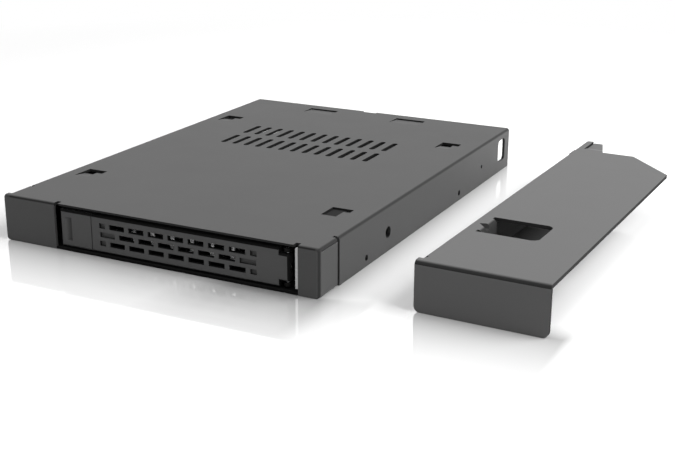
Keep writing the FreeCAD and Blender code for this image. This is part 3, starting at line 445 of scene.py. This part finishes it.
grainGroup = makeGrainGroup()
brushGroup = makeBrushGroup()
edgeGroup = makeEdgeGroup()
foldGroup = makeFoldGroup()
punchGroup = makePunchGroup()
recessGroup = makeRecessGroup()
stripGroup = makeStripGroup()
rightGroup = makeRightGroup()


def placeGroup(tree, group, **values):
    node = tree.nodes.new("ShaderNodeGroup")
    node.node_tree = group
    for name, value in values.items():
        node.inputs[name].default_value = value
    return node


def placeGrain(tree, fineScale, broadScale):
    grain = placeGroup(tree, grainGroup, **{"Fine Scale": fineScale, "Broad Scale": broadScale})
    return grain.outputs


# Finishes
noiseSpan = (0.3, 0.7)  # most of a noise lies between these
edgeSamples = 6


def startMaterial(name):
    material = bpy.data.materials.new(name)
    material.use_nodes = True
    tree = material.node_tree
    return material, tree, tree.nodes["Principled BSDF"]


def softEdge(tree, radius):
    bevel = tree.nodes.new("ShaderNodeBevel")
    bevel.samples = edgeSamples
    bevel.inputs["Radius"].default_value = radius * mm
    return bevel.outputs["Normal"]


def roughFrom(tree, noise, rough):
    return addRange(tree, noise, *noiseSpan, *rough)


def bumpFrom(tree, height, normal, strength, distance):
    bump = tree.nodes.new("ShaderNodeBump")
    bump.inputs["Strength"].default_value = strength
    bump.inputs["Distance"].default_value = distance * mm
    tree.links.new(height, bump.inputs["Height"])
    tree.links.new(normal, bump.inputs["Normal"])
    return bump.outputs["Normal"]


coatFinishes = {
    # dark and light of the mottling, colour of rubbed edges, painted shade on folds, size of the grain,
    # punched: half a sheet's width and depth, the heights of its underside and of its tab, for painted
    # shade,
    # cutShade: painted shade on punched walls where it differs from folds, rightDark: painted shade on faces
    # to the right too,
    # recess: the place of a moulding's front, the depth where its painted shade is full and the share on its
    # floor,
    # strip: the place behind which the painted shade along a sheet's front ends
    "cageCoat": {"dark": 0.048, "light": 0.055, "rubbed": 0.09, "fold": 0.008,
                 "punched": (46.5, 66.9, 11.8, 12.22),
                 "rough": (0.5, 0.53), "gloss": 0.36, "grain": 0.16},
    # the same powder coat as the cage, given a lighter tone as painted light for the brighter light the
    # bracket gets
    "bracketCoat": {"dark": 0.096, "light": 0.104, "rubbed": 0.08, "fold": 0.014,
                    "punched": (200, 200, 11.75, 0), "rightDark": True, "cutShade": 0.018,
                    "rough": (0.5, 0.53), "gloss": 0.36, "grain": 0.16},
    # turned: where a moulding's chamfer starts and where it is fully turned, for its painted shade; recess
    # paints shade into its recesses
    "mouldedDark": {"dark": 0.1, "light": 0.11, "rubbed": 0.125, "fold": 0.012,
                    "turned": (0.82, 0.74), "recess": (-66.2, 1.9, 1.0),
                    "rough": (0.42, 0.52), "gloss": 0.15, "grain": 0.11},
    "doorMoulding": {"dark": 0.1, "light": 0.11, "rubbed": 0.125, "fold": 0.008,
                     "turned": (0.82, 0.74), "recess": (-66.28, 0.3, 0.1),
                     "rough": (0.42, 0.52), "gloss": 0.15, "grain": 0.11},
    # black plastic, made near-black as painted shade in the gaps round the door
    "hiddenDark": {"dark": 0.005, "light": 0.008, "rubbed": 0.012, "fold": 0.005,
                   "rough": (0.5, 0.6), "gloss": 0.08, "grain": 0.11},
    # painted shade along the pan's front, where it lies under the door
    "panCoat": {"dark": 0.056, "light": 0.064, "rubbed": 0.07, "fold": 0.008, "strip": -64.0,
                "rough": (0.5, 0.53), "gloss": 0.06, "grain": 0.16},
    "connectorBlack": {"dark": 0.012, "light": 0.018, "rubbed": 0.03, "fold": 0.015,
                       "rough": (0.36, 0.46), "gloss": 0.22, "grain": 0.09},
}
coatSurface = {
    "mottleScale": 70.0,
    "edgeRadius": 0.12,
    "edgeWear": 0.5,
    "turned": (0.985, 0.86),  # where a fold starts and where it is fully turned, which places its painted shade
    "shadedRough": 0.95,
    "bump": (0.35, 0.02),
}


# Where shade is painted into a coat: in punched openings, on faces to the right, in recesses, along a front
def shadeOf(tree, finish, fold):
    masks = []
    if "punched" in finish:
        halfWidth, halfDepth, underside, tabLevel = finish["punched"]
        punch = placeGroup(tree, punchGroup, **{
            "Half Width": halfWidth * mm, "Half Depth": halfDepth * mm,
            "Underside": underside * mm, "Tab Level": tabLevel * mm})
        masks.append(punch.outputs["Mask"])
    if "rightDark" in finish:
        masks.append(placeGroup(tree, rightGroup).outputs["Mask"])
    if "recess" in finish:
        front, depth, share = finish["recess"]
        recess = placeGroup(tree, recessGroup, **{
            "Front": front * mm, "Depth": depth * mm, "Floor Share": share})
        masks += [fold, recess.outputs["Mask"]]
    if "strip" in finish:
        masks.append(placeGroup(tree, stripGroup, Back=finish["strip"] * mm).outputs["Mask"])
    return largestOf(tree, masks)


def makeCoat(name, finish, surface):
    material, tree, shader = startMaterial(name)
    grain = placeGrain(tree, 1 / (finish["grain"] * mm), surface["mottleScale"])
    normal = softEdge(tree, surface["edgeRadius"])
    edge = placeGroup(tree, edgeGroup)
    tree.links.new(normal, edge.inputs["Soft Normal"])
    tone = mixColours(tree, grain["Mottle"], grey(finish["dark"]), grey(finish["light"]))
    worn = addMath(tree, "MULTIPLY", edge.outputs["Mask"], surface["edgeWear"])
    tone = mixColours(tree, worn, tone, grey(finish["rubbed"]))
    # painted shade on folds, and on a moulding's chamfers
    flatFrom, turnedFrom = finish.get("turned", surface["turned"])
    fold = placeGroup(tree, foldGroup, Flat=flatFrom, Turned=turnedFrom).outputs["Mask"]
    tone = mixColours(tree, fold, tone, grey(finish["fold"]))
    roughness = roughFrom(tree, grain["Mottle"], finish["rough"])
    shade = shadeOf(tree, finish, fold)
    # painted shade, in the cut shade's colour where one is given and else in the fold shade's colour
    if shade is not None:
        tone = mixColours(tree, shade, tone, grey(finish.get("cutShade", finish["fold"])))
        shaded = addMath(tree, "MULTIPLY", shade, surface["shadedRough"])
        roughness = addMath(tree, "MAXIMUM", roughness, shaded)
    tree.links.new(tone, shader.inputs["Base Color"])
    tree.links.new(roughness, shader.inputs["Roughness"])
    shader.inputs["Specular IOR Level"].default_value = finish["gloss"]
    tree.links.new(bumpFrom(tree, grain["Height"], normal, *surface["bump"]), shader.inputs["Normal"])
    return material


metalFinishes = {
    # stretch: lines per metre along X, Y and Z,
    # paintedGlint: the place behind a sheet's front wall and the colour of the painted highlight on it
    "zincSheet": {"dark": 0.42, "light": 0.6, "rough": (0.2, 0.34), "stretch": (9000, 260, 9000),
                  "paintedGlint": (-60.2, 0.95)},
    "zincFastener": {"dark": 0.5, "light": 0.68, "rough": (0.2, 0.34), "stretch": (5000, 5000, 700)},
    "springWire": {"dark": 0.38, "light": 0.55, "rough": (0.22, 0.36), "stretch": (4000, 900, 4000)},
}
metalSurface = {
    "edgeRadius": 0.1,
    "stainSpan": (0.35, 0.75),
    "stain": 0.35,
    "bump": (0.15, 0.01),
}


def makeMetal(name, finish, surface):
    material, tree, shader = startMaterial(name)
    lines = placeGroup(tree, brushGroup, Stretch=finish["stretch"]).outputs
    tone = mixColours(tree, lines["Streak"], grey(finish["dark"]), grey(finish["light"]))
    stain = addRange(tree, lines["Stain"], *surface["stainSpan"], 0.0, surface["stain"])
    tone = mixColours(tree, stain, tone, grey(finish["dark"]))
    # painted highlight on the tray's front wall, which shows as glints through the door's slots
    if "paintedGlint" in finish:
        back, level = finish["paintedGlint"]
        glintMask = placeGroup(tree, stripGroup, Back=back * mm)
        tone = mixColours(tree, glintMask.outputs["Mask"], tone, grey(level))
    tree.links.new(tone, shader.inputs["Base Color"])
    shader.inputs["Metallic"].default_value = 1.0
    tree.links.new(roughFrom(tree, lines["Height"], finish["rough"]), shader.inputs["Roughness"])
    normal = softEdge(tree, surface["edgeRadius"])
    tree.links.new(bumpFrom(tree, lines["Height"], normal, *surface["bump"]), shader.inputs["Normal"])
    return material


# Contacts and the small parts on the board
smallFinishes = {
    # colour dark and light of the mottling, roughness and whether it is metal
    "goldContact": ((0.62, 0.42, 0.13), (0.83, 0.62, 0.25), (0.18, 0.32), 1.0),
    "tinnedEnd": ((0.5, 0.5, 0.48), (0.68, 0.68, 0.66), (0.24, 0.4), 1.0),
    "canSleeve": ((0.6, 0.6, 0.61), (0.74, 0.74, 0.75), (0.22, 0.34), 1.0),
    "ceramicBody": ((0.26, 0.17, 0.09), (0.34, 0.23, 0.13), (0.35, 0.5), 0.0),
    "chipResin": (grey(0.012), grey(0.02), (0.4, 0.55), 0.0),
}
smallSurface = {
    "grainScales": (9000.0, 900.0),
    "edgeRadius": 0.05,
    "bump": (0.2, 0.005),
}


def makeSmallFinish(name, finish, surface):
    dark, light, rough, metal = finish
    material, tree, shader = startMaterial(name)
    grain = placeGrain(tree, *surface["grainScales"])
    tree.links.new(mixColours(tree, grain["Mottle"], dark, light), shader.inputs["Base Color"])
    shader.inputs["Metallic"].default_value = metal
    tree.links.new(roughFrom(tree, grain["Mottle"], rough), shader.inputs["Roughness"])
    normal = softEdge(tree, surface["edgeRadius"])
    tree.links.new(bumpFrom(tree, grain["Height"], normal, *surface["bump"]), shader.inputs["Normal"])
    return material


lightFinish = {
    "dark": 0.84,
    "light": 0.92,
    "rough": (0.2, 0.3),
    "through": 0.12,
    "refraction": 1.49,
    "grainScales": (6000.0, 400.0),
    "edgeRadius": 0.15,
    "bump": (0.2, 0.01),
}


def makeLightGuide(finish):
    material, tree, shader = startMaterial("frostedGuide")
    grain = placeGrain(tree, *finish["grainScales"])
    tone = mixColours(tree, grain["Mottle"], grey(finish["dark"]), grey(finish["light"]))
    tree.links.new(tone, shader.inputs["Base Color"])
    tree.links.new(roughFrom(tree, grain["Mottle"], finish["rough"]), shader.inputs["Roughness"])
    shader.inputs["Transmission Weight"].default_value = finish["through"]
    shader.inputs["IOR"].default_value = finish["refraction"]
    normal = softEdge(tree, finish["edgeRadius"])
    tree.links.new(bumpFrom(tree, grain["Height"], normal, *finish["bump"]), shader.inputs["Normal"])
    return material


boardFinish = {
    "mask": (0.008, 0.07, 0.03),
    "track": (0.02, 0.13, 0.06),
    "tracks": {"Scale": 260.0, "Mortar Size": 0.06, "Brick Width": 7.0, "Row Height": 0.24},
    "fadeSpan": (0.55, 0.8),
    "fade": 0.25,
    "rough": (0.22, 0.34),
    "grainScales": (5000.0, 300.0),
    "edgeRadius": 0.1,
    "bump": (0.3, 0.02),
}


# Solder mask with tracks that run mostly straight, a shade lighter over the copper
def makeBoardFinish(finish):
    material, tree, shader = startMaterial("solderMask")
    tracks = tree.nodes.new("ShaderNodeTexBrick")
    for name, value in finish["tracks"].items():
        tracks.inputs[name].default_value = value
    tree.links.new(addPlace(tree)["Object"], tracks.inputs["Vector"])
    grain = placeGrain(tree, *finish["grainScales"])
    tone = mixColours(tree, tracks.outputs["Fac"], finish["mask"], finish["track"])
    faded = addRange(tree, grain["Mottle"], *finish["fadeSpan"], 0.0, finish["fade"])
    tree.links.new(mixColours(tree, faded, tone, finish["track"]), shader.inputs["Base Color"])
    tree.links.new(roughFrom(tree, grain["Mottle"], finish["rough"]), shader.inputs["Roughness"])
    normal = softEdge(tree, finish["edgeRadius"])
    bump = bumpFrom(tree, tracks.outputs["Fac"], normal, *finish["bump"])
    tree.links.new(bump, shader.inputs["Normal"])
    return material


finishes = {}
for makeFinish, kinds, surface in (
    (makeCoat, coatFinishes, coatSurface),
    (makeMetal, metalFinishes, metalSurface),
    (makeSmallFinish, smallFinishes, smallSurface),
):
    for name, finish in kinds.items():
        finishes[name] = makeFinish(name, finish, surface)
finishes["frostedGuide"] = makeLightGuide(lightFinish)
finishes["solderMask"] = makeBoardFinish(boardFinish)

nodeFinishes = {
    "top_cover": "cageCoat",
    "base_pan": "panCoat",
    "side_bracket": "bracketCoat",
    "left_rail": "zincSheet",
    "right_rail": "zincSheet",
    "drive_tray": "zincSheet",
    "rail_screws": "zincFastener",
    "board_screws": "zincFastener",
    "hinge_pin": "zincFastener",
    "clinch_nut": "hiddenDark",
    "tray_front": "hiddenDark",
    "door": "doorMoulding",
    "release_button": "mouldedDark",
    "button_spring": "springWire",
    "door_spring": "springWire",
    "light_pipe": "frostedGuide",
    "status_lamp": "frostedGuide",
    "backplane_board": "solderMask",
    "drive_socket": "connectorBlack",
    "host_plug": "connectorBlack",
    "drive_contacts": "goldContact",
    "host_contacts": "goldContact",
}
for nodeName, finishName in nodeFinishes.items():
    for materialSlot in cadNodes[nodeName].material_slots:
        materialSlot.material = finishes[finishName]
print("finishes on", len(nodeFinishes), "nodes")


# Helpers for modelling, with places and sizes in mm
meshParts = {"FACE": "polygons", "EDGE": "edges", "VERT": "vertices"}
facingShare = 0.9  # share of a normal along an axis at which a face looks that way
levelSlack = 0.01  # what lies this near to a level counts as on it
mergeWithin = 0.001
smoothAngle = math.radians(35)


def addBlock(name, size, place):
    bpy.ops.object.select_all(action="DESELECT")
    bpy.ops.mesh.primitive_cube_add(size=1.0, location=[value * mm for value in place])
    piece = bpy.context.object
    piece.name = name
    piece.scale = [value * mm for value in size]
    bpy.ops.object.transform_apply(location=True, rotation=True, scale=True)
    return piece


# Selects what passes the test and leaves edit mode open
def selectWhere(piece, kind, test):
    bpy.ops.object.mode_set(mode="EDIT")
    bpy.ops.mesh.select_mode(type=kind)
    bpy.ops.mesh.select_all(action="DESELECT")
    bpy.ops.object.mode_set(mode="OBJECT")
    for item in getattr(piece.data, meshParts[kind]):
        item.select = test(item)
    bpy.ops.object.mode_set(mode="EDIT")


def looksUp(face):
    return face.normal.z > facingShare


def looksDown(face):
    return face.normal.z < -facingShare


def looksBack(face):
    return face.normal.y > facingShare


def endsOf(piece, edge):
    return [piece.data.vertices[i].co / mm for i in edge.vertices]


def bevelSelected(offset, segments):
    bpy.ops.mesh.bevel(offset=offset * mm, segments=segments, affect="EDGES")
    bpy.ops.object.mode_set(mode="OBJECT")


# Cuts the whole mesh across by one plane
def cutAcross(place, normal):
    bpy.ops.object.mode_set(mode="EDIT")
    bpy.ops.mesh.select_all(action="SELECT")
    bpy.ops.mesh.bisect(plane_co=[value * mm for value in place], plane_no=normal)
    bpy.ops.object.mode_set(mode="OBJECT")


def closePiece(piece, finish):
    bpy.ops.object.mode_set(mode="EDIT")
    bpy.ops.mesh.select_all(action="SELECT")
    bpy.ops.mesh.remove_doubles(threshold=mergeWithin * mm)
    bpy.ops.mesh.normals_make_consistent(inside=False)
    bpy.ops.object.mode_set(mode="OBJECT")
    bpy.ops.object.shade_smooth_by_angle(angle=smoothAngle)
    if not piece.data.materials:
        piece.data.materials.append(finishes[finish])
    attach(piece, "cage")


def copyTo(piece, name, shift):
    copy = piece.copy()
    copy.data = piece.data.copy()
    copy.name = name
    scene.collection.objects.link(copy)
    copy.data.transform(Matrix.Translation(Vector(shift) * mm))
    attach(copy, "cage")


# Small parts soldered to the backplane board, placed on its top face
boardTop = 3.6

# Power switch chip: a resin body with drafted sides and two rows of gull-wing leads
switchChip = {
    "place": (28.2, 51.4),
    "size": (4.9, 3.9, 1.4),
    "stand": 0.15,
    "draft": 0.93,
    "corner": 0.08,
    "leads": 4,
    "pitch": 1.27,
    "leadSize": (0.42, 0.2),
    "leadRoot": 0.2,
    "leadAt": 0.72,
    "leadRuns": [(0.32, 0.0), (0.18, -0.72), (0.5, 0.0)],  # outwards and upwards, body to board
    "alsoAt": (-10.6, 45.0),
}


def makeSwitchChip(settings):
    x, y = settings["place"]
    width, height = settings["size"][1:]
    middle = (x, y, boardTop + settings["stand"] + height / 2)
    body = addBlock("switchChip", settings["size"], middle)
    cutAcross(middle, (0, 0, 1))
    for looksOut in (looksUp, looksDown):
        selectWhere(body, "FACE", looksOut)
        bpy.ops.transform.resize(value=(settings["draft"], settings["draft"], 1.0))
    selectWhere(body, "FACE", looksUp)
    bevelSelected(settings["corner"], 2)
    closePiece(body, "chipResin")

    # one lead, drawn out from a flat face at the body's side, then repeated along both sides
    leadWidth, leadSheet = settings["leadSize"]
    leadRoot, pitch = settings["leadRoot"], settings["pitch"]
    first = x - pitch * (settings["leads"] - 1) / 2
    start = (first, y + width / 2 - leadRoot, boardTop + settings["leadAt"] + leadSheet / 2)
    leads = addBlock("switchChipLeads", (leadWidth, leadRoot, leadSheet), start)
    selectWhere(leads, "FACE", looksBack)
    for out, rise in settings["leadRuns"]:
        bpy.ops.mesh.extrude_region_move(TRANSFORM_OT_translate={"value": (0, out * mm, rise * mm)})
    bpy.ops.mesh.select_all(action="SELECT")
    for i in range(settings["leads"] - 1):
        bpy.ops.mesh.duplicate_move(TRANSFORM_OT_translate={"value": (pitch * mm, 0, 0)})
    bpy.ops.mesh.select_all(action="SELECT")
    bpy.ops.mesh.duplicate_move()
    bpy.ops.transform.rotate(value=math.pi, orient_axis="Z", center_override=(x * mm, y * mm, boardTop * mm))
    bpy.ops.object.mode_set(mode="OBJECT")
    closePiece(leads, "tinnedEnd")
    otherX, otherY = settings["alsoAt"]
    shift = (otherX - x, otherY - y, 0)
    copyTo(body, "bridgeChip", shift)
    copyTo(leads, "bridgeChipLeads", shift)


# Smoothing capacitor: a rolled can with a crimped groove on a moulded foot
smoothingCan = {
    "place": (21.4, 51.4),
    "foot": (4.3, 4.3, 0.7),
    "footCorner": 0.9,
    "radius": 2.0,
    "sides": 40,
    "height": 4.6,
    "groove": (0.5, 1.1),
    "grooveShare": 0.9,  # of the radius, at the groove's floor
    "rim": 0.3,
}


def makeSmoothingCan(settings):
    x, y = settings["place"]
    footHeight = settings["foot"][2]
    foot = addBlock("smoothingFoot", settings["foot"], (x, y, boardTop + footHeight / 2))

    # the two upright edges that mark one pole
    def marksPole(edge):
        start, end = endsOf(foot, edge)
        return abs(start.z - end.z) > levelSlack and start.y < y

    selectWhere(foot, "EDGE", marksPole)
    bevelSelected(settings["footCorner"], 1)
    closePiece(foot, "chipResin")

    low = boardTop + footHeight
    middle = low + settings["height"] / 2
    bpy.ops.object.select_all(action="DESELECT")
    bpy.ops.mesh.primitive_cylinder_add(vertices=settings["sides"], radius=settings["radius"] * mm,
                                        depth=settings["height"] * mm,
                                        location=(x * mm, y * mm, middle * mm))
    can = bpy.context.object
    can.name = "smoothingCan"
    bpy.ops.object.transform_apply(location=True, rotation=True, scale=True)
    grooveMiddle = low + sum(settings["groove"]) / 2
    for level in (*[low + rise for rise in settings["groove"]], grooveMiddle):
        cutAcross((x, y, level), (0, 0, 1))
    selectWhere(can, "VERT", lambda vertex: abs(vertex.co.z / mm - grooveMiddle) < levelSlack)
    bpy.ops.transform.resize(value=(settings["grooveShare"], settings["grooveShare"], 1.0))
    bpy.ops.object.mode_set(mode="OBJECT")
    selectWhere(can, "FACE", looksUp)
    bevelSelected(settings["rim"], 3)
    closePiece(can, "canSleeve")


# Chip capacitors with tinned ends, one modelled and the others copied from it
chipCapacitor = {
    "places": [(33.0, 48.6), (33.0, 50.4), (33.0, 52.2), (-28.0, 44.4), (-28.0, 46.2), (-6.0, 47.4)],
    "size": (1.6, 0.8, 0.8),
    "endLength": 0.35,
    "endRise": 0.03,
    "corner": 0.06,
}


def makeChipCapacitors(settings):
    x, y = settings["places"][0]
    halfLength = settings["size"][0] / 2
    middle = boardTop + settings["endRise"] + settings["size"][2] / 2
    chip = addBlock("chipCapacitor1", settings["size"], (x, y, middle))
    inner = halfLength - settings["endLength"]
    for side in (-1, 1):
        cutAcross((x + side * inner, y, middle), (1, 0, 0))

    def beyond(distance):
        return lambda face: abs(face.center.x / mm - x) > distance

    selectWhere(chip, "FACE", beyond(inner))
    bpy.ops.mesh.extrude_region_shrink_fatten(
        TRANSFORM_OT_shrink_fatten={"value": settings["endRise"] * mm, "use_even_offset": True})
    bpy.ops.object.mode_set(mode="OBJECT")
    selectWhere(chip, "FACE", beyond(halfLength))
    bevelSelected(settings["corner"], 2)
    chip.data.materials.append(finishes["ceramicBody"])
    chip.data.materials.append(finishes["tinnedEnd"])
    isEnd = beyond(inner - levelSlack)
    for face in chip.data.polygons:
        face.material_index = 1 if isEnd(face) else 0
    closePiece(chip, "ceramicBody")
    for i, (otherX, otherY) in enumerate(settings["places"][1:], 2):
        copyTo(chip, "chipCapacitor" + str(i), (otherX - x, otherY - y, 0))


makeSwitchChip(switchChip)
makeSmoothingCan(smoothingCan)
makeChipCapacitors(chipCapacitor)
print("board parts placed")


# Strip turned in at the foot of the bracket's left wall, seen through the bracket's window
bottomFlange = {
    "corner": (72.15, -59.23),  # front end of the wall's inner face
    "wallRun": (3.58, 121.75),  # from there to its back end
    "start": 0.6,
    "length": 88,
    "width": 7.4,
    "lap": 0.3,
    "sheet": 0.5,
    "backCut": 3.0,
    "edge": 0.12,
}


def makeBottomFlange(settings):
    width = settings["width"] + settings["lap"]
    middle = settings["start"] + settings["length"] / 2
    flange = addBlock("bottomFlange", (width, settings["length"], settings["sheet"]),
                      (width / 2 - settings["lap"], middle, settings["sheet"] / 2))

    # the upright edge at the back of the free side
    def isFreeCorner(edge):
        return all(end.x > 0 and end.y > middle for end in endsOf(flange, edge))

    selectWhere(flange, "EDGE", isFreeCorner)
    bevelSelected(settings["backCut"], 1)
    selectWhere(flange, "FACE", looksUp)
    bevelSelected(settings["edge"], 2)
    bpy.ops.object.mode_set(mode="EDIT")
    bpy.ops.mesh.select_all(action="SELECT")
    lean = math.atan2(*settings["wallRun"])
    bpy.ops.transform.rotate(value=lean, orient_axis="Z", center_override=(0, 0, 0))  # clockwise from above
    bpy.ops.transform.translate(value=(*[value * mm for value in settings["corner"]], 0))
    bpy.ops.object.mode_set(mode="OBJECT")
    closePiece(flange, "bracketCoat")


makeBottomFlange(bottomFlange)
print("bracket's flange turned in")


# The button's coil seats on the tray front and moves with the tray
buttonCoil = {
    "seat": (-25.05, -61.2, 5.975),
    "front": -64.15,
    "stroke": 1.2,
    "mergeWithin": 0.0005,
}


def makeButtonCoil(settings):
    bpy.ops.object.select_all(action="DESELECT")
    coil = bpy.data.objects.new("buttonCoil", cadNodes["button_spring"].data.copy())
    scene.collection.objects.link(coil)
    bpy.context.view_layer.objects.active = coil
    coil.select_set(True)
    bpy.ops.object.mode_set(mode="EDIT")
    bpy.ops.mesh.select_all(action="SELECT")
    bpy.ops.mesh.remove_doubles(threshold=settings["mergeWithin"] * mm)
    bpy.ops.object.mode_set(mode="OBJECT")
    bpy.ops.object.shade_smooth_by_angle(angle=smoothAngle)
    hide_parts("button_spring")
    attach(coil, "tray")
    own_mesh(coil)


makeButtonCoil(buttonCoil)
print("button coil seated")
